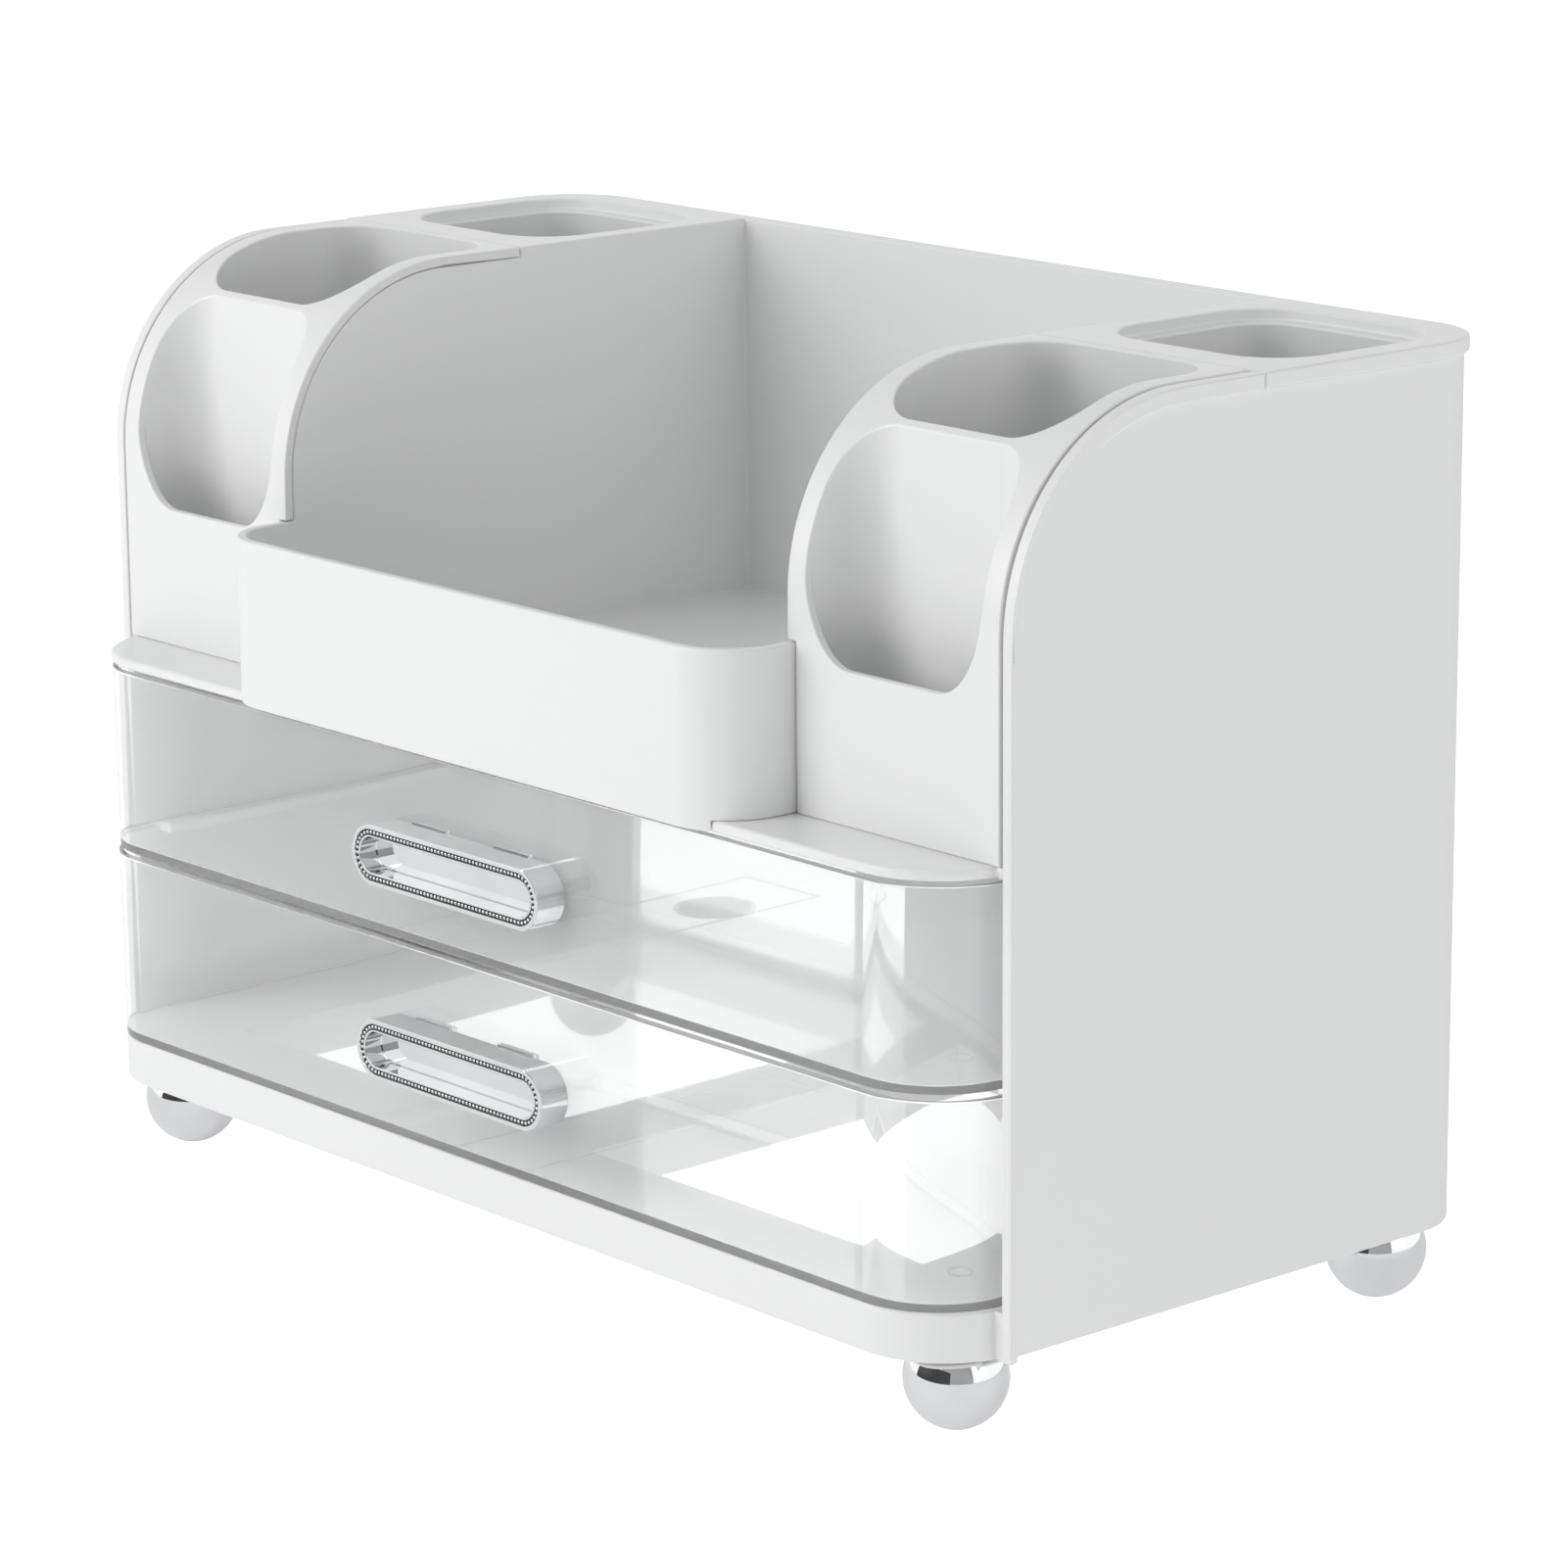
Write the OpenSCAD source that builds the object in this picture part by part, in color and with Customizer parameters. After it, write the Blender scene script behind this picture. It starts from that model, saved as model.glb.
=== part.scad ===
// Tabletop cosmetics organiser: a white cabinet on four chrome ball feet, with two
// clear drawers, an open bin behind a low tray wall, and a brush tower at each side.
// Two windows open the cabinet's back behind the drawers, and two more its plinth.
// X runs left to right, Y from the drawer fronts to the back, Z up from the table.
// Heights named *_z are measured from the bottom of the plinth, depths named *_y from
// the drawer fronts; place() then puts a piece on its feet and centres it.

/* [Cabinet] */
// Width over the outer faces of the side panels
cab_w = 330; // [300:1:360]
// Depth from the drawer fronts to the back
cab_d = 169.2; // [164:0.2:190]
// Wall of the side panels
panel_t = 3; // [2:0.1:3.6]
// How far the lower edge of the side panels stays above the plinth's bottom
panel_lift = 1.5; // [0:0.1:3]
// Width of the strip at the front of a side panel that reaches the plinth's bottom
strip_w = 2.2; // [1:0.1:4]
// Radius of the two rear corners, seen from above
rear_r = 20; // [14:0.5:26]
// How far each side panel wraps round the back
wrap_w = 25; // [22:0.5:40]
// Thickness of the back panel
back_t = 1.6; // [1:0.1:2]
// Width of the back panel's edge that lies in a side panel's rebate
rebate_w = 6; // [3:0.5:10]
// Width of the post between the two windows in the back
back_post_w = 100; // [60:1:130]
// Height of the sill under those windows, above the plinth's top
back_sill_h = 0.6; // [0.2:0.2:6]
// Height of the strip between those windows and the deck
back_head_h = 6; // [3:0.5:12]
// Radius of those windows' corners
back_window_r = 5; // [3:0.5:10]

/* [Plinth, deck and ledges] */
// Height of the plinth
plinth_h = 11.2; // [9:0.1:16]
// Wall of the plinth's skirt
skirt_t = 2.4; // [1.6:0.1:3]
// Thickness of the plinth's top plate
plinth_top_t = 2; // [1.2:0.1:3]
// How far the plinth's front stays behind the drawer fronts
plinth_setback = 0.6; // [0:0.1:2]
// Width of the plinth's front rail
front_rail_w = 25.4; // [22:0.2:34]
// Width of the plinth's rear rail
rear_rail_w = 14.2; // [8:0.2:24]
// Width of the plinth's side rails
side_rail_w = 35; // [30:0.5:50]
// Width of the bar between the plinth's two windows
mid_bar_w = 24; // [10:0.5:40]
// Wall that goes down round each window
window_wall = 1.6; // [1:0.1:2.4]
// Thickness of the deck over the drawers
deck_t = 2.7; // [2:0.1:4]
// How far the deck's front edge stands ahead of the drawer fronts
deck_out = 0.3; // [0:0.1:0.6]
// Distance from a side panel's outer face to the side of a drawer, the deck's nose or the plinth's nose
front_inset = 4.6; // [4.2:0.1:6]
// Radius of the front corners of the drawers, deck and plinth
front_r = 23; // [15:0.5:26]
// Width of the ledges moulded inside the side panels
ledge_w = 8; // [6:0.5:12]
// Thickness of those ledges
ledge_t = 2.6; // [2:0.1:4]

/* [Drawers] */
// Height of the upper drawer's front
upper_front_h = 46.4; // [36:0.2:60]
// Height of the lower drawer's front
lower_front_h = 48; // [36:0.2:60]
// Room between a drawer's back and the back panel
drawer_back_gap = 7.6; // [6.6:0.2:14]
// Wall of a drawer
drawer_wall = 2.4; // [1.6:0.1:3.2]
// Floor of a drawer
drawer_floor = 1.6; // [1.2:0.1:3]
// How much tighter a drawer's front corners are inside than outside
drawer_corner_in = 5; // [2.4:0.1:5.2]
// Radius of a drawer's rear corners
drawer_rear_r = 14; // [12:0.5:20]
// How much lower a drawer's sides are than its front
side_drop = 1.8; // [1:0.1:4]
// Running gap between a drawer and what it slides on or under
run_gap = 0.3; // [0.2:0.05:0.6]

/* [Handles] */
// Length of a handle
handle_l = 70.2; // [50:0.2:100]
// Height of a handle
handle_h = 14.8; // [11:0.2:20]
// How far a handle stands out from its drawer
handle_out = 8; // [6.5:0.1:12]
// Width of the band round a handle's recess
handle_band = 3.1; // [1.8:0.1:4]
// Depth of a handle's recess
handle_recess = 5; // [4.4:0.1:5.8]
// Height of the lower handle's middle above the lower drawer's underside
lower_handle_up = 23.5; // [12:0.5:30]
// Height of the upper handle's middle above the upper drawer's underside
upper_handle_up = 21.9; // [12:0.5:30]
// Width of each snap lug behind a handle
lug_w = 12; // [6:0.5:14]
// Thickness of a snap lug
lug_t = 2; // [1.2:0.1:3]
// Distance from a handle's middle to the middle of each lug
lug_x = 15.5; // [10:0.5:20]
// Height of the barb at a lug's end
barb_h = 1.2; // [0.6:0.1:2]
// Clearance round a lug in its slot
slot_gap = 0.2; // [0.1:0.05:0.4]

/* [Towers and bin] */
// Height of the towers above the deck
tower_h = 98.75; // [80:0.25:130]
// Distance from a side panel's outer face to the bin's inner face
tower_w = 72; // [70:0.5:84]
// How far the tower fronts stand behind the drawer fronts
tower_setback = 17.6; // [16:0.2:24]
// Radius of the curve from a tower's front to its top
curve_r = 50; // [40:0.5:54]
// How much the side panels' curved edge stays below the tower's surface
panel_step = 0.2; // [0.1:0.1:0.5]
// Height of the rim round the top
rim_h = 3.75; // [2.5:0.25:5]
// How far the rim stands out from the side panels
rim_out = 1.2; // [0.6:0.1:2]
// Width of the proud band along a panel's curved edge, at its front end
band_w = 0.7; // [0.4:0.1:1.5]
// Thickness of the towers' top plates
top_t = 2.2; // [1.6:0.1:3]
// Wall of the bin and of its front tray
bin_t = 2.4; // [1.6:0.1:3]
// Wall at the bin's back
bin_back_t = 1.6; // [1:0.1:2.4]
// Floor of the bin
bin_floor = 1.4; // [1:0.1:2.4]
// Height of the tray wall above the deck
tray_h = 38.7; // [20:0.1:45]
// How far the tray wall stands ahead of the drawer fronts
tray_out = 3.3; // [3.2:0.1:6]
// Radius of the tray's front corners
tray_r = 16; // [8:0.5:17]
// How far the tray wall hangs down over the deck's front edge
tray_lap = 2.5; // [1:0.1:2.8]

/* [Brush inserts] */
// Open groove between an insert and its side panel
groove = 0.8; // [0.3:0.1:1.2]
// Thickness of an insert's front and top skin
skin_t = 2.2; // [1.6:0.1:3]
// Thickness of the lip that covers the bin wall's top edge
lip_t = 2.5; // [1.8:0.1:3]
// Wall round the brush cups
cup_wall = 1.8; // [1.2:0.1:2]
// Floor of the brush cups
cup_floor = 2; // [1.2:0.1:3]
// Width of the front and middle cups
cup_w = 56.5; // [48:0.5:58]
// Depth of the front cup behind the skin
front_cup_d = 15.6; // [12:0.2:20]
// Height of the front cup's opening above the deck, at its lower edge
sill_h = 34.9; // [24:0.1:48]
// Width of the lower corners of the front cup's opening
sill_rx = 14; // [6:0.5:20]
// Height of the lower corners of the front cup's opening
sill_rz = 22; // [8:0.5:26]
// Radius of the front cup's rear corners
front_cup_r = 12; // [4:0.5:12]
// Radius of the middle cup's corners
cup_r = 13; // [6:0.5:20]
// Where the insert ends and the upper body begins
split_y = 92; // [80:0.5:98]

/* [Rear cups] */
// Width of the rear cups
rear_cup_w = 58.5; // [50:0.5:60]
// Distance from the inserts' ends to the rear cups
rear_cup_gap = 11.5; // [8:0.5:16]
// Distance from the back to the rear cups
rear_cup_back = 9.2; // [6:0.2:12]
// Radius of the rear cups' corners
rear_cup_r = 15; // [8:0.5:20]
// Width of the step inside the rear cups
step_w = 3.5; // [1:0.1:5]
// Depth of that step below the top
step_h = 2.8; // [2:0.1:8]

/* [Feet] */
// Radius of the ball feet
ball_r = 12; // [10:0.25:14]
// Height of the plinth's bottom above the middle of a ball
ball_up = 8; // [6:0.25:9]
// Radius of the flat that a ball stands on
ball_flat_r = 3; // [2:0.25:5]
// Distance from a side panel's outer face to the middle of a foot
foot_x = 20.2; // [18:0.2:30]
// Distance from the drawer fronts to the middle of a front foot
foot_front_y = 20.4; // [18:0.2:30]
// Distance from the back to the middle of a rear foot
foot_rear_y = 14.6; // [14:0.2:30]
// Diameter of the studs that join the feet to the plinth
stud_d = 4; // [3:0.1:5]
// How far a stud reaches up into the plinth, which stays closed above it
stud_up = 7.6; // [5:0.1:8]
// How far a stud reaches down into its foot
stud_down = 9; // [5:0.5:11]
// Clearance round the studs
stud_gap = 0.1; // [0.05:0.05:0.3]

/* [Hidden] */

$fn = 96;
white = "white";
clear = "lightcyan";
chrome = "silver";

// Small gap between pieces that fit beside each other
fit_gap = 0.3;
// Extra length of cutting shapes, so that they pass right through
over = 1;
// Number of straight sides in a quarter of an opening's rounded corner
corner_steps = 10;

// Half widths, seen from the front
half_w = cab_w / 2;
inner_x = half_w - panel_t;
nose_x = half_w - front_inset;
bin_x = half_w - tower_w;
wrap_x = half_w - wrap_w;
window_x = inner_x - side_rail_w;

// Depths
inner_y = cab_d - panel_t;
back_y = cab_d - back_t;
bin_back_y = back_y - bin_back_t;
drawer_d = back_y - drawer_back_gap;
drawer_inner_r = front_r - drawer_corner_in;
panel_front_y = tower_setback + panel_step;
curve_y = tower_setback + curve_r;
ledge_y = front_r + over;
ledge_end_y = cab_d - rear_r;
window_front_y = plinth_setback + front_rail_w;
window_rear_y = inner_y - rear_rail_w;

// Heights, from the bottom of the plinth up
lower_z = plinth_h + run_gap;
lower_top_z = lower_z + lower_front_h;
mid_ledge_z = lower_top_z - side_drop + run_gap;
upper_z = mid_ledge_z + ledge_t + run_gap;
upper_top_z = upper_z + upper_front_h;
deck_ledge_z = upper_top_z - side_drop + run_gap;
deck_z = deck_ledge_z + ledge_t;
deck_top_z = deck_z + deck_t;
tray_top_z = deck_top_z + tray_h;
top_z = deck_top_z + tower_h;
rim_z = top_z - rim_h;
curve_z = top_z - curve_r;

// The insert and its cups
insert_out_x = inner_x - groove;
insert_in_x = bin_x + bin_t + fit_gap;
cup_x = (insert_out_x + bin_x) / 2;
front_cup_y = tower_setback + skin_t;
divider_y = front_cup_y + front_cup_d;
middle_cup_y = divider_y + cup_wall;
middle_cup_end_y = split_y - cup_wall - fit_gap;
rear_cup_x = half_w - tower_w / 2;
rear_cup_l = cab_d - rear_cup_back - split_y - rear_cup_gap;
rear_cup_y = cab_d - rear_cup_back - rear_cup_l / 2;

// The feet
foot_stand = ball_up + sqrt(pow(ball_r, 2) - pow(ball_flat_r, 2));
boss_r = sqrt(pow(ball_r, 2) - pow(ball_up, 2));
feet_x = half_w - foot_x;
feet_rear_y = cab_d - foot_rear_y;

// The whole part, centred front to back
total_d = handle_out + cab_d + rim_out;
front_y = handle_out - total_d / 2;

module place() translate([0, front_y, foot_stand]) children();

module both_sides() {
  children();
  mirror([1, 0, 0]) children();
}

// Rectangle with four round corners, centred
module round_rect(w, l, r) {
  square([w - 2 * r, l], center = true);
  square([w, l - 2 * r], center = true);
  for (x = [-1, 1], y = [-1, 1])
    translate([x * (w / 2 - r), y * (l / 2 - r)]) circle(r);
}

// Plan outline from y0 back to y1, with round corners at the rear only
module rear_round(half, y0, y1, r) {
  translate([-half, y0]) square([2 * half, y1 - r - y0]);
  translate([-half + r, y0]) square([2 * (half - r), y1 - y0]);
  for (x = [-1, 1]) translate([x * (half - r), y1 - r]) circle(r);
}

// Plan outline from y0 back to y1, with round corners at the front only
module front_round(half, y0, y1, r) {
  translate([-half, y0 + r]) square([2 * half, y1 - y0 - r]);
  translate([-half + r, y0]) square([2 * (half - r), y1 - y0]);
  for (x = [-1, 1]) translate([x * (half - r), y0 + r]) circle(r);
}

// Side view of a tower, drawn inside by inset, from the deck's level or below to rear_y
module tower_side(inset, low_z, rear_y) {
  y0 = tower_setback + inset;
  translate([y0, low_z]) square([rear_y - y0, curve_z - low_z]);
  translate([curve_y, low_z]) square([rear_y - curve_y, top_z - inset - low_z]);
  intersection() {
    translate([curve_y, curve_z]) circle(curve_r - inset);
    translate([y0 - over, curve_z]) square(curve_r + over);
  }
}

// Turns a side view drawn in Y and Z into a slab from x0 to x1
module slab(x0, x1)
  translate([x0, 0, 0]) rotate([90, 0, 90]) linear_extrude(x1 - x0) children();

// Turns a front view drawn in X and Z into a slab from y0 to y1
module front_slab(y0, y1)
  translate([0, y1, 0]) rotate([90, 0, 0]) linear_extrude(y1 - y0) children();

module layer(z0, z1) translate([0, 0, z0]) linear_extrude(z1 - z0) children();

// ---- Cabinet ----

module plinth_outline(inset) {
  front_round(nose_x - inset, plinth_setback + inset, cab_d / 2, front_r - inset);
  rear_round(inner_x - inset, panel_front_y + fit_gap + inset, inner_y - inset,
             rear_r - panel_t - inset);
}

module plinth_windows(grow) both_sides() translate([mid_bar_w / 2 - grow, window_front_y - grow])
  square([window_x - mid_bar_w / 2 + 2 * grow, window_rear_y - window_front_y + 2 * grow]);

module foot_places() {
  for (x = [-feet_x, feet_x], y = [foot_front_y, feet_rear_y]) translate([x, y, 0]) children();
}

module base_plinth() color(white) place()
  difference() {
    union() {
      difference() {
        layer(0, plinth_h) plinth_outline(0);
        layer(-over, plinth_h - plinth_top_t) plinth_outline(skirt_t);
      }
      layer(0, plinth_h) plinth_windows(window_wall);
      foot_places() cylinder(h = plinth_h, r = boss_r);
    }
    layer(-over, plinth_h + over) plinth_windows(0);
    foot_places() translate([0, 0, -over]) cylinder(h = over + stud_up, d = stud_d + 2 * stud_gap);
  }

module panel_plan() difference() {
  rear_round(half_w, panel_front_y, cab_d, rear_r);
  rear_round(inner_x, panel_front_y - over, inner_y, rear_r - panel_t);
  translate([-wrap_x, 0]) square([half_w + wrap_x + over, cab_d + over]);
}

module panel_side() difference() {
  union() {
    tower_side(panel_step, 0, split_y);
    translate([curve_y, 0]) square([cab_d + over - curve_y, rim_z]);
  }
  translate([panel_front_y + strip_w, -over]) square([cab_d, panel_lift + over]);
}

// The proud band along the panel's curved edge, narrower towards the front
module panel_band() difference() {
  tower_side(panel_step, curve_z - rim_h, split_y);
  translate([band_w, panel_step - rim_h]) tower_side(panel_step, 0, split_y + over);
}

module side_panel() color(white) place() {
  difference() {
    intersection() {
      layer(0, top_z) panel_plan();
      slab(-half_w - over, -wrap_x + over) panel_side();
    }
    translate([-wrap_x - rebate_w, back_y, deck_z]) cube([rebate_w + over, back_t + over, top_z]);
  }
  slab(-half_w - rim_out, -half_w) panel_band();
  for (z = [mid_ledge_z, deck_ledge_z])
    translate([-inner_x - panel_t / 2, ledge_y, z])
      cube([ledge_w + panel_t / 2, ledge_end_y - ledge_y, ledge_t]);
}

module left_side_panel() side_panel();
module right_side_panel() mirror([1, 0, 0]) side_panel();

// Front view of the windows in the back; they run out past the side panels' edges
module back_windows() {
  inner = back_post_w / 2;
  outer = wrap_x + over;
  low = plinth_h + back_sill_h;
  high = deck_z - back_head_h;
  for (side = [-1, 1]) translate([side * (inner + outer) / 2, (low + high) / 2])
    round_rect(outer - inner, high - low, back_window_r);
}

module back_panel() color(white) place() {
  translate([-wrap_x - rebate_w + fit_gap, back_y, deck_z])
    cube([2 * (wrap_x + rebate_w - fit_gap), back_t, rim_z - deck_z]);
  front_slab(inner_y, cab_d) difference() {
    translate([-wrap_x, panel_lift]) square([2 * wrap_x, deck_z - panel_lift]);
    back_windows();
  }
}

module deck() color(white) place() layer(deck_z, deck_top_z) {
  front_round(nose_x, -deck_out, cab_d / 2, front_r);
  rear_round(inner_x, panel_front_y + fit_gap, inner_y, rear_r - panel_t);
}

// ---- Upper body ----

module rim_outline() intersection() {
  rear_round(half_w + rim_out, 0, cab_d + rim_out, rear_r + rim_out);
  translate([-cab_w, split_y + fit_gap]) square([2 * cab_w, cab_d]);
}

module bin_outline(inset)
  front_round(bin_x + bin_t - inset, inset - tray_out, back_y, tray_r - inset);

// Plan of a rear cup; the step narrows it all round
module rear_cup_plan(grow) translate([-rear_cup_x, rear_cup_y])
  round_rect(rear_cup_w + 2 * grow, rear_cup_l + 2 * grow, rear_cup_r + grow);

module upper_body() color(white) place() difference() {
  union() {
    // Rim on top of the panels, and the plates round the rear cups
    difference() {
      layer(rim_z, top_z) rim_outline();
      layer(rim_z - over, top_z - top_t) rear_round(inner_x, 0, inner_y, rear_r - panel_t);
    }
    // Low tray wall and floor, with the part of the wall that laps over the deck's edge
    difference() {
      layer(deck_top_z, tray_top_z) bin_outline(0);
      layer(deck_top_z + bin_floor, tray_top_z + over) bin_outline(bin_t);
    }
    intersection() {
      layer(deck_top_z - tray_lap, deck_top_z + bin_floor) difference() {
        bin_outline(0);
        bin_outline(bin_t);
      }
      translate([-cab_w, -cab_w - deck_out - fit_gap, 0]) cube([2 * cab_w, cab_w, top_z]);
    }
    // Bin sides and back above the tray
    both_sides() slab(-bin_x - bin_t, -bin_x) {
      tower_side(lip_t, deck_top_z, split_y + 2 * fit_gap);
      translate([split_y + fit_gap, deck_top_z])
        square([back_y - split_y - fit_gap, tower_h]);
    }
    translate([-bin_x - bin_t, bin_back_y, deck_top_z])
      cube([2 * (bin_x + bin_t), bin_back_t, tower_h]);
    // Rear cups
    both_sides() {
      layer(top_z - step_h - cup_wall, top_z) rear_cup_plan(cup_wall);
      layer(deck_top_z, top_z) rear_cup_plan(cup_wall - step_w);
    }
  }
  translate([-bin_x, tower_setback + bin_t, tray_top_z])
    cube([2 * bin_x, bin_back_y - tower_setback - bin_t, tower_h]);
  both_sides() {
    layer(top_z - step_h, top_z + over) rear_cup_plan(0);
    layer(deck_top_z + cup_floor, top_z + over) rear_cup_plan(-step_w);
  }
}

// ---- Brush inserts ----

// Corner of an opening: points on a quarter ellipse about [x, z], from angle a0 on
function corner(x, z, rx, rz, a0) =
  [for (i = [0:corner_steps]) let (a = a0 + 90 * i / corner_steps) [x + rx * cos(a), z + rz * sin(a)]];

// Front view of the front cup's opening in the upright skin, left open above
module opening_front() {
  x = cup_w / 2;
  low = deck_top_z + sill_h;
  polygon(concat([[x, top_z], [-x, top_z]],
    corner(-x + sill_rx, low + sill_rz, sill_rx, sill_rz, 180),
    corner(x - sill_rx, low + sill_rz, sill_rx, sill_rz, 270)));
}

// Plan of the front cup, round at the rear and square at the front
module front_cup_plan(grow) translate([-cup_x, 0]) intersection() {
  rear_round(cup_w / 2 + grow, front_cup_y - grow, divider_y + grow, front_cup_r + grow);
  translate([-cup_w, front_cup_y - grow]) square([2 * cup_w, cab_d]);
}

module middle_cup_plan(grow) translate([-cup_x, (middle_cup_y + middle_cup_end_y) / 2])
  round_rect(cup_w + 2 * grow, middle_cup_end_y - middle_cup_y + 2 * grow, cup_r + grow);

module brush_insert() color(white) place() difference() {
  union() {
    // Front and top skin, and the lip over the bin wall
    difference() {
      slab(-insert_out_x, -insert_in_x) tower_side(0, deck_top_z, split_y);
      slab(-insert_out_x - over, -insert_in_x + over)
        tower_side(skin_t, deck_top_z - over, split_y + over);
    }
    difference() {
      slab(-insert_in_x - over, -bin_x) tower_side(0, tray_top_z + fit_gap, split_y);
      slab(-insert_in_x - 2 * over, -bin_x + over)
        tower_side(lip_t - fit_gap / 2, deck_top_z, split_y + over);
    }
    // Cups, up to the underside of the skin
    intersection() {
      layer(deck_top_z, top_z) {
        front_cup_plan(cup_wall);
        middle_cup_plan(cup_wall);
      }
      slab(-insert_out_x, -insert_in_x) tower_side(0, deck_top_z, split_y);
    }
  }
  layer(deck_top_z + cup_floor, top_z + over) front_cup_plan(0);
  translate([-cup_x, 0, 0]) front_slab(0, front_cup_y + over) opening_front();
  layer(deck_top_z + cup_floor, top_z + over) middle_cup_plan(0);
}

module left_brush_insert() brush_insert();
module right_brush_insert() mirror([1, 0, 0]) brush_insert();

// ---- Drawers ----

module drawer_outline(inset, corner_r) {
  intersection() {
    front_round(nose_x - inset, inset, drawer_d + drawer_rear_r, corner_r);
    rear_round(nose_x - inset, -over, drawer_d - inset, drawer_rear_r - inset);
  }
}

// A clear tray; up is the height of the handle's middle over the drawer's underside
module drawer(z, h, up) color(clear, 0.4) place() translate([0, 0, z]) difference() {
  layer(0, h) drawer_outline(0, front_r);
  layer(drawer_floor, h + over) drawer_outline(drawer_wall, drawer_inner_r);
  // Sides and back run under the ledges
  translate([-cab_w, ledge_y - fit_gap, h - side_drop]) cube([2 * cab_w, cab_d, side_drop + over]);
  // Slots for the handle's lugs
  for (x = [-lug_x, lug_x])
    translate([x - lug_w / 2 - slot_gap, -over, up + handle_h / 2 - lug_t - slot_gap])
      cube([lug_w + 2 * slot_gap, drawer_wall + 2 * over, lug_t + 2 * slot_gap]);
}

module upper_drawer() drawer(upper_z, upper_front_h, upper_handle_up);
module lower_drawer() drawer(lower_z, lower_front_h, lower_handle_up);

module handle_outline(inset) {
  r = handle_h / 2 - inset;
  square([handle_l - handle_h, 2 * r], center = true);
  for (x = [-1, 1]) translate([x * (handle_l - handle_h) / 2, 0]) circle(r);
}

module handle(z) color(chrome) place() translate([0, 0, z]) {
  difference() {
    front_slab(-handle_out, 0) handle_outline(0);
    front_slab(-handle_out - over, handle_recess - handle_out) handle_outline(handle_band);
  }
  for (x = [-lug_x, lug_x]) translate([x - lug_w / 2, -over, handle_h / 2 - lug_t]) {
    cube([lug_w, over + drawer_wall + slot_gap + barb_h, lug_t]);
    translate([0, over + drawer_wall + slot_gap, 0]) cube([lug_w, barb_h, lug_t + barb_h]);
  }
}

module upper_handle() handle(upper_z + upper_handle_up);
module lower_handle() handle(lower_z + lower_handle_up);

// ---- Feet ----

module foot(x, y) color(chrome) place() translate([x, y, 0]) difference() {
  translate([0, 0, -ball_up]) sphere(ball_r);
  translate([-ball_r, -ball_r, 0]) cube(2 * ball_r);
  translate([-ball_r, -ball_r, -foot_stand - 2 * ball_r]) cube(2 * ball_r);
  translate([0, 0, -stud_down]) cylinder(h = stud_down + over, d = stud_d + 2 * stud_gap);
}

module foot_front_left() foot(-feet_x, foot_front_y);
module foot_front_right() foot(feet_x, foot_front_y);
module foot_rear_left() foot(-feet_x, feet_rear_y);
module foot_rear_right() foot(feet_x, feet_rear_y);

module foot_studs() color(chrome) place() foot_places()
  translate([0, 0, -stud_down]) cylinder(h = stud_down + stud_up, d = stud_d);

base_plinth();
left_side_panel();
right_side_panel();
back_panel();
deck();
upper_body();
left_brush_insert();
right_brush_insert();
upper_drawer();
lower_drawer();
upper_handle();
lower_handle();
foot_front_left();
foot_front_right();
foot_rear_left();
foot_rear_right();
foot_studs();
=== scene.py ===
import math

import bmesh
import bpy
from mathutils import Matrix, Vector


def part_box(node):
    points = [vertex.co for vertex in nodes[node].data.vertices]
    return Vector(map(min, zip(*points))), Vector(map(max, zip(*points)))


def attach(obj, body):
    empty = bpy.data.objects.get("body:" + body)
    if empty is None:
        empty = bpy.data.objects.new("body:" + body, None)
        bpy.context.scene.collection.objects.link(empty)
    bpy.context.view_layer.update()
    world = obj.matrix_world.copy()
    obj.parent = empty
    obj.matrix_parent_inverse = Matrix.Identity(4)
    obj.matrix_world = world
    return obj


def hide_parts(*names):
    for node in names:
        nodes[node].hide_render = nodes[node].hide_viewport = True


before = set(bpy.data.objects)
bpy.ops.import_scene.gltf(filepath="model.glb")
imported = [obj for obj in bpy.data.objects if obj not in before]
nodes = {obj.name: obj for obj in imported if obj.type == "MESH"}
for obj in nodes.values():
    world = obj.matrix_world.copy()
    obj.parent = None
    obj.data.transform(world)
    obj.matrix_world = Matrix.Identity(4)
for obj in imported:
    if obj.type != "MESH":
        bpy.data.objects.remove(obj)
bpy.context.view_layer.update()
mm = 0.001


cameraView = dict(
    place=(1.0213, -0.8706, 0.4366),
    heading=49.04,   # degrees to the left of straight back
    down=13.69,      # degrees
    roll=0.45,       # degrees
    lens=131.2,
    sensor=36,
)


def addCamera():
    camera = bpy.data.objects.new("studioCamera", bpy.data.cameras.new("studioCamera"))
    bpy.context.scene.collection.objects.link(camera)
    turn = Matrix.Rotation(math.radians(cameraView["heading"]), 4, "Z")
    tilt = Matrix.Rotation(math.radians(90 - cameraView["down"]), 4, "X")
    roll = Matrix.Rotation(math.radians(-cameraView["roll"]), 4, "Z")
    camera.matrix_world = Matrix.Translation(cameraView["place"]) @ turn @ tilt @ roll
    camera.data.lens = cameraView["lens"]
    camera.data.sensor_width = cameraView["sensor"]
    camera.data.dof.use_dof = False
    bpy.context.scene.camera = camera


lampSet = [
    dict(name="frontSoftbox", place=(-0.7, -1.6, 0.8), aim=(0, 0, 0.11), size=1.2, power=15.5),
    dict(name="topSoftbox", place=(0, -0.1, 1.6), aim=(0, 0, 0.1), size=1.8, power=3.0),
    dict(name="rightSoftbox", place=(1.9, 0.4, 0.7), aim=(0, 0, 0.1), size=0.9, power=7.0),
]


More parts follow.
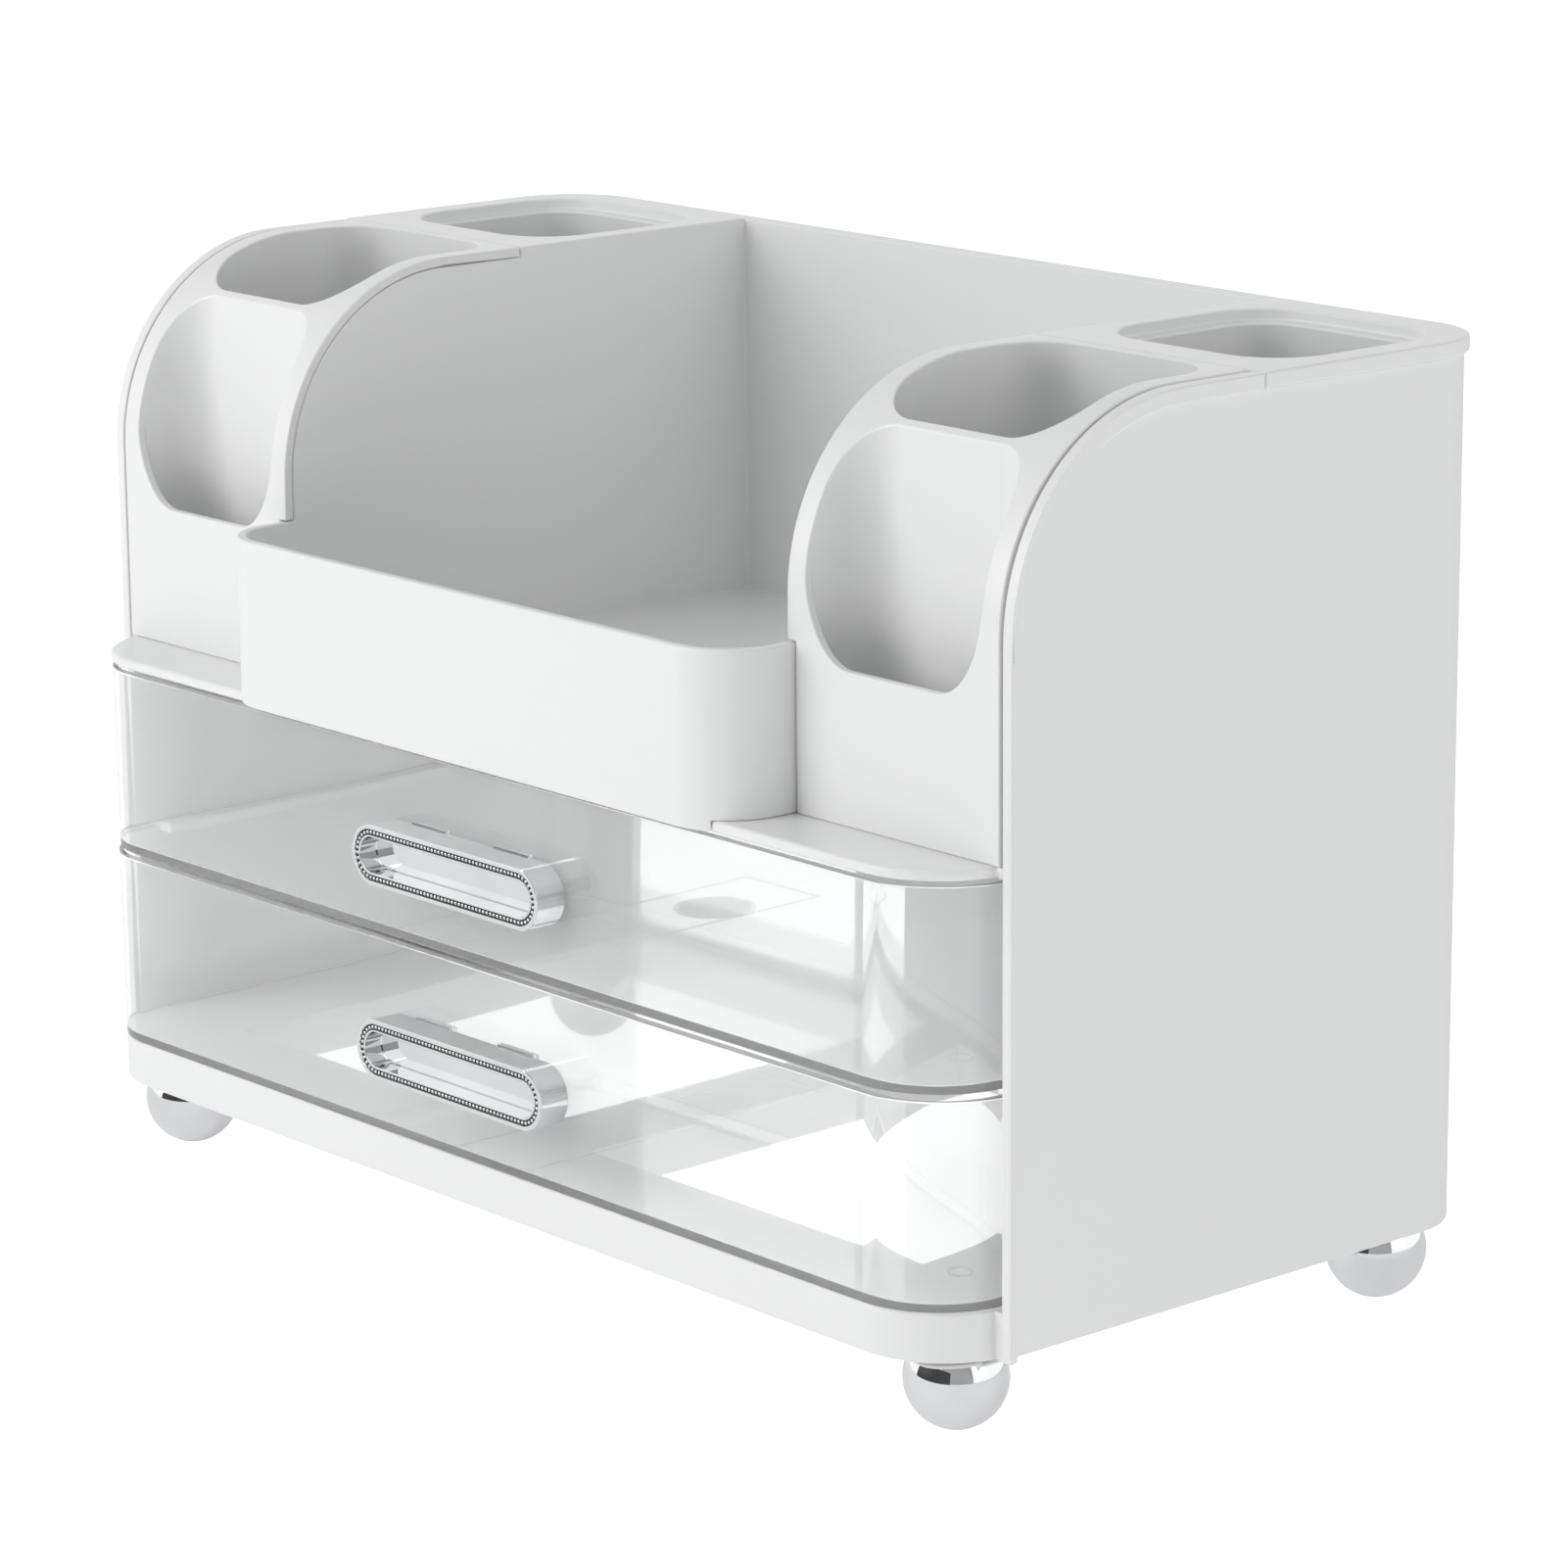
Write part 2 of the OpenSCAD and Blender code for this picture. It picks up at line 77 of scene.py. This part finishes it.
def addLamps():
    for lamp in lampSet:
        light = bpy.data.lights.new(lamp["name"], "AREA")
        light.shape = "SQUARE"
        light.size = lamp["size"]
        light.energy = lamp["power"]
        holder = bpy.data.objects.new(lamp["name"], light)
        bpy.context.scene.collection.objects.link(holder)
        holder.location = lamp["place"]
        aim = Vector(lamp["aim"]) - Vector(lamp["place"])
        holder.rotation_euler = aim.to_track_quat("-Z", "Y").to_euler()


worldLight = dict(shade=(0.95, 0.96, 0.97), strength=0.36, backdrop=1.12)


def seenDirectly(tree, *others):
    # 1 for camera rays and for these others, which all show the white background
    rays = tree.nodes.new("ShaderNodeLightPath")
    seen = rays.outputs["Is Camera Ray"]
    for kind in others:
        either = tree.nodes.new("ShaderNodeMath")
        either.operation = "MAXIMUM"
        tree.links.new(seen, either.inputs[0])
        tree.links.new(rays.outputs[kind], either.inputs[1])
        seen = either.outputs[0]
    return seen


def addWorld():
    world = bpy.data.worlds.new("studioWorld")
    bpy.context.scene.world = world
    world.use_nodes = True
    tree = world.node_tree
    tree.nodes.clear()
    output = tree.nodes.new("ShaderNodeOutputWorld")
    mix = tree.nodes.new("ShaderNodeMixShader")
    ambient = tree.nodes.new("ShaderNodeBackground")
    ambient.inputs["Color"].default_value = (*worldLight["shade"], 1)
    ambient.inputs["Strength"].default_value = worldLight["strength"]
    backdrop = tree.nodes.new("ShaderNodeBackground")
    backdrop.inputs["Color"].default_value = (1, 1, 1, 1)
    backdrop.inputs["Strength"].default_value = worldLight["backdrop"]
    tree.links.new(seenDirectly(tree, "Is Glossy Ray", "Is Transmission Ray"), mix.inputs[0])
    tree.links.new(ambient.outputs[0], mix.inputs[1])
    tree.links.new(backdrop.outputs[0], mix.inputs[2])
    tree.links.new(mix.outputs[0], output.inputs["Surface"])


def addObject(name, bm, materials):
    mesh = bpy.data.meshes.new(name)
    bm.to_mesh(mesh)
    bm.free()
    for material in materials:
        mesh.materials.append(material)
    made = bpy.data.objects.new(name, mesh)
    bpy.context.scene.collection.objects.link(made)
    return made


studioFloor = dict(
    reach=6,       # metres from the middle to each side
    paper=0.8,
    glow=1.0,      # what the camera sees
    bounce=0.42,   # what lights the object
    dimmed=0.35,   # share of the bounce that reflections leave out
)


def floorPaper():
    material = bpy.data.materials.new("studioFloor")
    material.use_nodes = True
    tree = material.node_tree
    tree.nodes.clear()
    output = tree.nodes.new("ShaderNodeOutputMaterial")
    paper = tree.nodes.new("ShaderNodeBsdfDiffuse")
    paper.inputs["Color"].default_value = (*[studioFloor["paper"]] * 3, 1)
    glow = tree.nodes.new("ShaderNodeEmission")
    glow.inputs["Strength"].default_value = studioFloor["glow"]
    bounce = tree.nodes.new("ShaderNodeEmission")
    bounce.inputs["Strength"].default_value = studioFloor["bounce"]
    rays = tree.nodes.new("ShaderNodeLightPath")
    dim = tree.nodes.new("ShaderNodeMath")
    dim.operation = "MULTIPLY"
    dim.inputs[1].default_value = studioFloor["dimmed"]
    tree.links.new(rays.outputs["Is Glossy Ray"], dim.inputs[0])
    dimmed = tree.nodes.new("ShaderNodeMixShader")
    tree.links.new(dim.outputs[0], dimmed.inputs[0])
    tree.links.new(bounce.outputs[0], dimmed.inputs[1])
    # glossy rays include those through clear plastic, so the glow comes after the dimming
    mix = tree.nodes.new("ShaderNodeMixShader")
    tree.links.new(seenDirectly(tree, "Is Transmission Ray"), mix.inputs[0])
    tree.links.new(dimmed.outputs[0], mix.inputs[1])
    tree.links.new(glow.outputs[0], mix.inputs[2])
    lit = tree.nodes.new("ShaderNodeAddShader")
    tree.links.new(paper.outputs[0], lit.inputs[0])
    tree.links.new(mix.outputs[0], lit.inputs[1])
    tree.links.new(lit.outputs[0], output.inputs["Surface"])
    return material


def addFloor():
    bm = bmesh.new()
    bmesh.ops.create_grid(bm, x_segments=1, y_segments=1, size=studioFloor["reach"])
    floor = addObject("studioFloor", bm, [floorPaper()])


# size and place in metres, turn in degrees
reflectedCards = [
    dict(name="studioDarkCard", size=(0.95, 0.34), place=(0.05, -0.62, 0.13), turn=0, shade=0.05, rough=0.8),
    dict(name="studioGreyCard", size=(2.4, 1.5), place=(1.4, -1.2, 0.6), turn=49, shade=0.5, rough=0.8),
]


def cardPaper(shape):
    material = bpy.data.materials.new(shape["name"])
    material.use_nodes = True
    shader = material.node_tree.nodes["Principled BSDF"]
    shader.inputs["Base Color"].default_value = (*[shape["shade"]] * 3, 1)
    shader.inputs["Roughness"].default_value = shape["rough"]
    return material


def addCards():
    # a dark one at the front and a grey one behind the camera; they show only in reflections
    for shape in reflectedCards:
        upright = Matrix.Rotation(math.radians(90), 3, "X")
        turned = Matrix.Rotation(math.radians(shape["turn"]), 3, "Z")
        bm = bmesh.new()
        bmesh.ops.create_grid(bm, x_segments=1, y_segments=1, size=0.5)   # its sides are 1 long
        bmesh.ops.scale(bm, vec=(*shape["size"], 1), verts=bm.verts)
        bmesh.ops.rotate(bm, matrix=upright, verts=bm.verts)
        bmesh.ops.rotate(bm, matrix=turned, verts=bm.verts)
        bmesh.ops.translate(bm, vec=shape["place"], verts=bm.verts)
        card = addObject(shape["name"], bm, [cardPaper(shape)])
        card.visible_camera = False
        card.visible_diffuse = False
        card.visible_transmission = False
        card.visible_shadow = False


addCamera()
addLamps()
addWorld()
addFloor()
addCards()
bpy.context.scene.view_settings.view_transform = "Standard"
print("studio is set up")


noiseSpan = (0.3, 0.7)   # nearly all of a noise texture's values lie between these


def shaderOf(material):
    return material.node_tree.nodes["Principled BSDF"]


def addNoise(tree, scale, detail=2.0):
    place = tree.nodes.new("ShaderNodeTexCoord")
    noise = tree.nodes.new("ShaderNodeTexNoise")
    noise.inputs["Scale"].default_value = scale
    noise.inputs["Detail"].default_value = detail
    tree.links.new(place.outputs["Object"], noise.inputs["Vector"])
    return noise.outputs["Fac"]


def addTone(material, scale, tones):
    tree = material.node_tree
    ramp = tree.nodes.new("ShaderNodeValToRGB")
    for stop, position, tone in zip(ramp.color_ramp.elements, noiseSpan, tones):
        stop.position = position
        stop.color = (*tone, 1)
    tree.links.new(addNoise(tree, scale), ramp.inputs["Fac"])
    tree.links.new(ramp.outputs["Color"], shaderOf(material).inputs["Base Color"])


def addRoughness(material, scale, roughness):
    tree = material.node_tree
    spread = tree.nodes.new("ShaderNodeMapRange")
    spread.inputs["From Min"].default_value = noiseSpan[0]
    spread.inputs["From Max"].default_value = noiseSpan[1]
    spread.inputs["To Min"].default_value = roughness[0]
    spread.inputs["To Max"].default_value = roughness[1]
    tree.links.new(addNoise(tree, scale), spread.inputs["Value"])
    tree.links.new(spread.outputs["Result"], shaderOf(material).inputs["Roughness"])


def newFinish(look):
    # the colour and the gloss are faintly cloudy
    material = bpy.data.materials.new(look["name"])
    material.use_nodes = True
    addTone(material, look["toneScale"], look["tones"])
    addRoughness(material, look["glossScale"], look["roughness"])
    return material


whiteLook = dict(
    name="glossWhitePlastic",
    toneScale=7,
    tones=((0.848, 0.85, 0.85), (0.856, 0.857, 0.856)),
    glossScale=25,
    roughness=(0.29, 0.33),
    grainScale=1500,
    grainDetail=1,
    grainStrength=0.02,
    grainHeight=0.1 * mm,
    bending=1.5,
)


def glossWhite(look):
    material = newFinish(look)
    tree = material.node_tree
    shader = shaderOf(material)
    bump = tree.nodes.new("ShaderNodeBump")
    bump.inputs["Strength"].default_value = look["grainStrength"]
    bump.inputs["Distance"].default_value = look["grainHeight"]
    grain = addNoise(tree, look["grainScale"], look["grainDetail"])
    tree.links.new(grain, bump.inputs["Height"])
    tree.links.new(bump.outputs["Normal"], shader.inputs["Normal"])
    shader.inputs["IOR"].default_value = look["bending"]
    return material


clearLook = dict(
    name="clearPolystyrene",
    toneScale=12,
    tones=((0.985, 0.988, 0.99), (0.993, 0.995, 0.996)),
    glossScale=45,
    roughness=(0.01, 0.03),
    clearness=0.88,
    bending=1.49,
    lampTint=(0.98, 0.983, 0.985),
)
frostedLook = dict(clearLook, name="frostedPolystyrene", roughness=(0.14, 0.2))


def clearPlastic(look):
    # lamp light passes straight through it
    material = newFinish(look)
    tree = material.node_tree
    shader = shaderOf(material)
    shader.inputs["Transmission Weight"].default_value = look["clearness"]
    shader.inputs["IOR"].default_value = look["bending"]
    passing = tree.nodes.new("ShaderNodeBsdfTransparent")
    passing.inputs["Color"].default_value = (*look["lampTint"], 1)
    rays = tree.nodes.new("ShaderNodeLightPath")
    mix = tree.nodes.new("ShaderNodeMixShader")
    tree.links.new(rays.outputs["Is Shadow Ray"], mix.inputs[0])
    tree.links.new(shader.outputs[0], mix.inputs[1])
    tree.links.new(passing.outputs[0], mix.inputs[2])
    tree.links.new(mix.outputs[0], tree.nodes["Material Output"].inputs["Surface"])
    return material


chromeLook = dict(
    name="brightChrome",
    toneScale=40,
    tones=((0.80, 0.805, 0.815), (0.86, 0.865, 0.87)),
    glossScale=150,
    roughness=(0.03, 0.06),
)
# near-black chrome for the channel's bottom between the rims: painted shade in the recess round the beads
channelLook = dict(
    name="channelShadeChrome",
    toneScale=40,
    tones=((0.04, 0.04025, 0.04075), (0.043, 0.04325, 0.0435)),
    glossScale=150,
    roughness=(0.3, 0.4),
)
zincLook = dict(
    name="zincSteel",
    toneScale=200,
    tones=((0.50, 0.51, 0.53), (0.66, 0.67, 0.68)),
    glossScale=300,
    roughness=(0.25, 0.45),
)


def metal(look):
    material = newFinish(look)
    shaderOf(material).inputs["Metallic"].default_value = 1
    return material


white = glossWhite(whiteLook)
clear = clearPlastic(clearLook)
frosted = clearPlastic(frostedLook)
plated = metal(chromeLook)
# the channel's chrome, darkened with painted shade
shadedChannelChrome = metal(channelLook)
zinc = metal(zincLook)
print("finishes are made")


shaping = dict(
    merge=0.01 * mm,
    flat=1,         # degrees; faces that turn less than this become one
    bevelFrom=33,   # degrees; edges that turn more than this are rounded
    sharpFrom=38,   # degrees; edges that turn more than this are shaded sharp
)


def mergedCopy(node):
    # a CAD node is loose triangles; its copy gets whole faces that a bevel can follow
    bm = bmesh.new()
    bm.from_mesh(nodes[node].data)
    bmesh.ops.remove_doubles(bm, verts=bm.verts, dist=shaping["merge"])
    flat = math.radians(shaping["flat"])
    bmesh.ops.dissolve_limit(bm, angle_limit=flat, verts=bm.verts, edges=bm.edges)
    return bm


def middleOf(edge):
    return (edge.verts[0].co + edge.verts[1].co) / 2


def anyEdge(edge):
    return True


def soften(bm, width, segments=2, chosen=anyEdge):
    least = math.radians(shaping["bevelFrom"])
    edges = [
        edge for edge in bm.edges
        if len(edge.link_faces) == 2 and edge.calc_face_angle() > least and chosen(edge)
    ]
    bmesh.ops.bevel(bm, geom=edges, offset=width, offset_type="OFFSET", affect="EDGES",
                    segments=segments, profile=0.5, material=-1, clamp_overlap=False)


def finishPiece(name, bm, body, materials, node):
    piece = addObject(name, bm, materials)
    piece.data.shade_smooth()
    piece.data.set_sharp_from_angle(angle=math.radians(shaping["sharpFrom"]))
    even = piece.modifiers.new("evenShading", "WEIGHTED_NORMAL")
    even.keep_sharp = True
    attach(piece, body)
    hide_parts(node)


cabinetPieces = [
    dict(name="plinthFrame", node="base_plinth", edge=0.4 * mm),
    dict(name="backPlate", node="back_panel", edge=0.3 * mm),
]


def addCabinetPieces():
    for shape in cabinetPieces:
        bm = mergedCopy(shape["node"])
        soften(bm, shape["edge"])
        finishPiece(shape["name"], bm, "cabinet", [white], shape["node"])


deckPlate = dict(node="deck", nose=1.0 * mm)


def addDeck():
    # only the front edge is rounded, as the other edges are hidden
    low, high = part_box(deckPlate["node"])

    def atFront(edge):
        return middleOf(edge).y < (low[1] + high[1]) / 2

    bm = mergedCopy(deckPlate["node"])
    soften(bm, deckPlate["nose"], segments=4, chosen=atFront)
    finishPiece("deckPlate", bm, "cabinet", [white], deckPlate["node"])


sidePanel = dict(
    edge=0.4 * mm,
    curve=50 * mm,
    bandOut=1.2 * mm,
    bandStart=50,     # degrees along the curve, from its front end
    bandFull=84,
    bandLeast=0.02,   # share of the band that stands out before it starts
)


def addSidePanels():
    # the band along the curved edge rises out of the panel only towards the top
    shape = sidePanel
    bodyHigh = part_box("upper_body")[1]
    for side in ("left", "right"):
        node = side + "_side_panel"
        low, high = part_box(node)
        face = max(abs(low[0]), abs(high[0])) - shape["bandOut"]
        centre = Vector((0, low[1] + shape["curve"], bodyHigh[2] - shape["curve"]))
        bm = mergedCopy(node)
        soften(bm, shape["edge"])
        for vert in bm.verts:
            proud = abs(vert.co.x) - face
            if proud > 0:
                angle = math.degrees(math.atan2(vert.co.z - centre.z, centre.y - vert.co.y))
                rise = (angle - shape["bandStart"]) / (shape["bandFull"] - shape["bandStart"])
                rise = min(max(rise, shape["bandLeast"]), 1)
                vert.co.x = math.copysign(face + proud * rise, vert.co.x)
        finishPiece(side + "SidePanel", bm, "cabinet", [white], node)


upperBody = dict(node="upper_body", edge=0.6 * mm)


def addUpperBody():
    bm = mergedCopy(upperBody["node"])
    soften(bm, upperBody["edge"], segments=3)
    finishPiece("upperBody", bm, "cabinet", [white], upperBody["node"])


brushInsert = dict(
    edge=0.5 * mm,
    skin=2.2 * mm,     # the top's thickness
    near=0.3 * mm,     # an edge this near the skin's underside lies in it
    narrow=15 * mm,    # from the rear
)


def addBrushInserts():
    shape = brushInsert
    for side in ("left", "right"):
        node = side + "_brush_insert"
        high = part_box(node)[1]

        def roomy(edge):
            # the strip behind the cup under the top skin is narrower than the rounding
            middle = middleOf(edge)
            underSkin = abs(middle.z - high[2] + shape["skin"]) < shape["near"]
            return not (underSkin and middle.y > high[1] - shape["narrow"])

        bm = mergedCopy(node)
        soften(bm, shape["edge"], segments=3, chosen=roomy)
        finishPiece(side + "BrushInsert", bm, "cabinet", [white], node)


addCabinetPieces()
addDeck()
addSidePanels()
addUpperBody()
addBrushInserts()
print("white cabinet is made")


drawerShape = dict(
    draft=1.0 * mm,
    edge=0.4 * mm,
    markDown=0.01 * mm,             # gap between the floor and the marks under it
    markHigh=0.2 * mm,
    ribWide=0.7 * mm,
    ribs=(-11.2 * mm, 15.0 * mm),   # from the drawer's middle
    ribStart=0.6 * mm,              # from the drawer's front
    ribEnd=96 * mm,
    ringAt=(5 * mm, 71.5 * mm),
    ringRadius=9.6 * mm,
    discRadius=8.9 * mm,
    discThick=0.1 * mm,
    pinAt=(138 * mm, 29 * mm),
    pinRadius=3 * mm,
    segments=48,
)


def addBlock(bm, low, high):
    middle = (Vector(low) + Vector(high)) / 2
    size = Vector(high) - Vector(low)
    shape = Matrix.Translation(middle) @ Matrix.Diagonal((*size, 1))
    bmesh.ops.create_cube(bm, size=1, matrix=shape)


def addRing(bm, centre, radius, wide, high):
    # a square section is stretched to the ring's height and spun round its middle
    turned = Matrix.Rotation(math.radians(45), 4, "Z")
    section = bmesh.ops.create_circle(bm, segments=4, radius=wide / math.sqrt(2), matrix=turned)["verts"]
    for vert in section:
        vert.co = centre + Vector((radius + vert.co.x, 0, vert.co.y * high / wide))
    edges = list({edge for vert in section for edge in vert.link_edges})
    bmesh.ops.spin(bm, geom=section + edges, cent=centre, axis=(0, 0, 1), angle=math.tau,
                   steps=drawerShape["segments"], use_merge=True)


def addDisc(bm, place, radius, thick):
    disc = bmesh.ops.create_cone(bm, cap_ends=True, segments=drawerShape["segments"], radius1=radius,
                                 radius2=radius, depth=thick, matrix=Matrix.Translation(place))["verts"]
    for face in {face for vert in disc for face in vert.link_faces}:
        face.material_index = 1


def addUnderMarks(bm, low, high):
    # two fine ribs joined at the rear, a frosted disc in a ring and a pin mark under the floor
    shape = drawerShape
    middle = (low[0] + high[0]) / 2
    front = low[1]
    top = low[2] - shape["markDown"]
    bottom = top - shape["markHigh"]
    half = shape["ribWide"] / 2
    start = front + shape["ribStart"]
    end = front + shape["ribEnd"]
    first, second = (middle + rib for rib in shape["ribs"])
    for rib in (first, second):
        addBlock(bm, (rib - half, start, bottom), (rib + half, end, top))
    addBlock(bm, (first + half, end - shape["ribWide"], bottom), (second - half, end, top))
    for place, radius in ((shape["ringAt"], shape["ringRadius"]), (shape["pinAt"], shape["pinRadius"])):
        centre = Vector((middle + place[0], front + place[1], (top + bottom) / 2))
        addRing(bm, centre, radius, shape["ribWide"], shape["markHigh"])
    x, y = shape["ringAt"]
    thick = shape["discThick"]
    addDisc(bm, (middle + x, front + y, top - thick / 2), shape["discRadius"], thick)


def addDrawers():
    # each wall but the front leans in a little towards the floor, as the mould's draft has it
    for name, node in (("upperDrawer", "upper_drawer"), ("lowerDrawer", "lower_drawer")):
        low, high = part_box(node)
        middle = (low[0] + high[0]) / 2
        bm = mergedCopy(node)
        soften(bm, drawerShape["edge"])
        for vert in bm.verts:
            lean = drawerShape["draft"] * (high[2] - vert.co.z) / (high[2] - low[2])
            vert.co.x = middle + (vert.co.x - middle) * (1 - lean / (high[0] - middle))
            vert.co.y = low[1] + (vert.co.y - low[1]) * (1 - lean / (high[1] - low[1]))
        addUnderMarks(bm, low, high)
        finishPiece(name, bm, node, [clear, frosted], node)


addDrawers()
print("drawers are made")


handleShape = dict(
    high=14.8 * mm,
    out=8 * mm,
    recess=5 * mm,
    band=3.1 * mm,
    rim=1.1 * mm,
    channelWide=1.5 * mm,
    channelDeep=0.45 * mm,
    slope=0.1 * mm,          # how far the band's small walls lean
    innerRim=0.1 * mm,       # how far the inner rim lies behind the outer one
    soft=0.25 * mm,
    softMiddle=0.3,          # how far along the rounding its middle point lies
    near=0.02 * mm,          # a face this near the channel's depth is its bottom
    beadRadius=0.42 * mm,
    beadStep=1.3 * mm,
    beadSunk=0.03 * mm,
    beadSegments=(8, 5),     # round it, and from its top to its bottom
    lugWide=12 * mm,
    lugThick=2 * mm,
    lugLong=3.8 * mm,
    lugAt=15.5 * mm,
    segments=64,
)


def moveOutline(verts, centre, straight, radius, y):
    # each point keeps its direction from the nearer end's middle
    for vert in verts:
        end = centre[0] + math.copysign(straight / 2, vert.co.x - centre[0])
        away = Vector((vert.co.x - end, 0, vert.co.z - centre[1])).normalized() * radius
        vert.co = Vector((end, y, centre[1])) + away


def addStadium(bm, centre, straight, profile):
    # an outline with round ends, extruded again and again along the profile and closed at both ends
    count = handleShape["segments"]
    turned = Matrix.Translation((centre[0], 0, centre[1])) @ Matrix.Rotation(math.pi / 2, 4, "X")
    turned = turned @ Matrix.Rotation(math.pi / count, 4, "Z")
    verts = bmesh.ops.create_circle(bm, segments=count, radius=profile[0][0], matrix=turned)["verts"]
    edges = list({edge for vert in verts for edge in vert.link_edges})
    for vert in verts:
        vert.co.x += math.copysign(straight / 2, vert.co.x - centre[0])
    moveOutline(verts, centre, straight, *profile[0])
    bmesh.ops.contextual_create(bm, geom=edges)
    for radius, y in profile[1:]:
        made = bmesh.ops.extrude_edge_only(bm, edges=edges)["geom"]
        verts = [item for item in made if isinstance(item, bmesh.types.BMVert)]
        edges = [item for item in made if isinstance(item, bmesh.types.BMEdge)
                 and item.verts[0] in verts and item.verts[1] in verts]
        moveOutline(verts, centre, straight, radius, y)
    bmesh.ops.contextual_create(bm, geom=edges)


def stadiumPlace(distance, straight, radius):
    # the point this far along a stadium's outline, from the left end of its top
    for turn in (1, -1):
        if distance < straight:
            return turn * (distance - straight / 2), turn * radius
        distance -= straight
        if distance < math.pi * radius:
            angle = math.pi / 2 - distance / radius
            return turn * (straight / 2 + radius * math.cos(angle)), turn * radius * math.sin(angle)
        distance -= math.pi * radius
    return -straight / 2, radius


def bandProfile(face):
    # from the handle's back over its rims and the channel between them to the recess's bottom
    shape = handleShape
    soft = shape["soft"]
    slope = shape["slope"]
    part = soft * shape["softMiddle"]
    channel = face + shape["channelDeep"]
    inner = shape["rim"] + shape["channelWide"]
    innerFace = face + shape["innerRim"]
    bottom = face + shape["recess"]
    steps = [   # how far in from the outline, and how deep
        (0, face + shape["out"]), (0, face + soft), (part, face + part), (soft, face),
        (shape["rim"], face), (shape["rim"] + slope, channel), (inner - slope, channel),
        (inner, innerFace), (shape["band"] - slope, innerFace), (shape["band"], innerFace + slope),
        (shape["band"], bottom - soft), (shape["band"] + soft, bottom),
    ]
    return [(shape["high"] / 2 - inset, y) for inset, y in steps]


def addBeads(bm, centre, straight, y):
    # a row of beads all the way round the channel
    shape = handleShape
    across, along = shape["beadSegments"]
    line = shape["high"] / 2 - shape["rim"] - shape["channelWide"] / 2
    around = 2 * straight + math.tau * line
    beads = round(around / shape["beadStep"])
    for bead in range(beads):
        x, z = stadiumPlace(around * bead / beads, straight, line)
        place = Matrix.Translation((centre[0] + x, y, centre[1] + z))
        bmesh.ops.create_uvsphere(bm, u_segments=across, v_segments=along,
                                  radius=shape["beadRadius"], matrix=place)


def addLugs(bm, centre, back, top):
    # the snap lugs that reach through the drawer's front
    shape = handleShape
    for lug in (-shape["lugAt"], shape["lugAt"]):
        left = centre[0] + lug - shape["lugWide"] / 2
        addBlock(bm, (left, back - shape["soft"], top - shape["lugThick"]),
                 (left + shape["lugWide"], back + shape["lugLong"], top))


def addHandles():
    shape = handleShape
    for name, node, body in (("upperHandle", "upper_handle", "upper_drawer"),
                             ("lowerHandle", "lower_handle", "lower_drawer")):
        low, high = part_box(node)
        centre = ((low[0] + high[0]) / 2, low[2] + shape["high"] / 2)
        straight = high[0] - low[0] - shape["high"]
        face = low[1]
        channel = face + shape["channelDeep"]
        bm = bmesh.new()
        addStadium(bm, centre, straight, bandProfile(face))
        # the channel's bottom takes the chrome darkened with painted shade
        for bandFace in bm.faces:
            if abs(bandFace.calc_center_median().y - channel) < shape["near"]:
                bandFace.material_index = 1
        addBeads(bm, centre, straight, channel - shape["beadSunk"])
        addLugs(bm, centre, face + shape["out"], low[2] + shape["high"])
        bmesh.ops.recalc_face_normals(bm, faces=bm.faces)
        finishPiece(name, bm, body, [plated, shadedChannelChrome], node)


addHandles()
print("handles are made")


ballFoot = dict(
    radius=12 * mm,
    middleDown=8 * mm,   # from the foot's top
    segments=64,
)


def addFeet():
    # each is a ball, cut flat where it stands and where it meets the plinth
    count = ballFoot["segments"]
    for depth in ("front", "rear"):
        for side in ("left", "right"):
            node = f"foot_{depth}_{side}"
            low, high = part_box(node)
            x = (low[0] + high[0]) / 2
            y = (low[1] + high[1]) / 2
            middle = Matrix.Translation((x, y, high[2] - ballFoot["middleDown"]))
            bm = bmesh.new()
            bmesh.ops.create_uvsphere(bm, u_segments=count, v_segments=count // 2,
                                      radius=ballFoot["radius"], matrix=middle)
            for z, way in ((low[2], -1), (high[2], 1)):
                everything = list(bm.verts) + list(bm.edges) + list(bm.faces)
                cut = bmesh.ops.bisect_plane(bm, geom=everything, plane_co=(x, y, z),
                                             plane_no=(0, 0, way), clear_outer=True)["geom_cut"]
                rim = [item for item in cut if isinstance(item, bmesh.types.BMEdge)]
                bmesh.ops.contextual_create(bm, geom=rim)
            bmesh.ops.recalc_face_normals(bm, faces=bm.faces)
            name = "ballFoot" + depth.capitalize() + side.capitalize()
            finishPiece(name, bm, "cabinet", [plated], node)


def dressStuds():
    mesh = nodes["foot_studs"].data
    mesh.materials.clear()
    mesh.materials.append(zinc)


addFeet()
dressStuds()
print("feet are made")
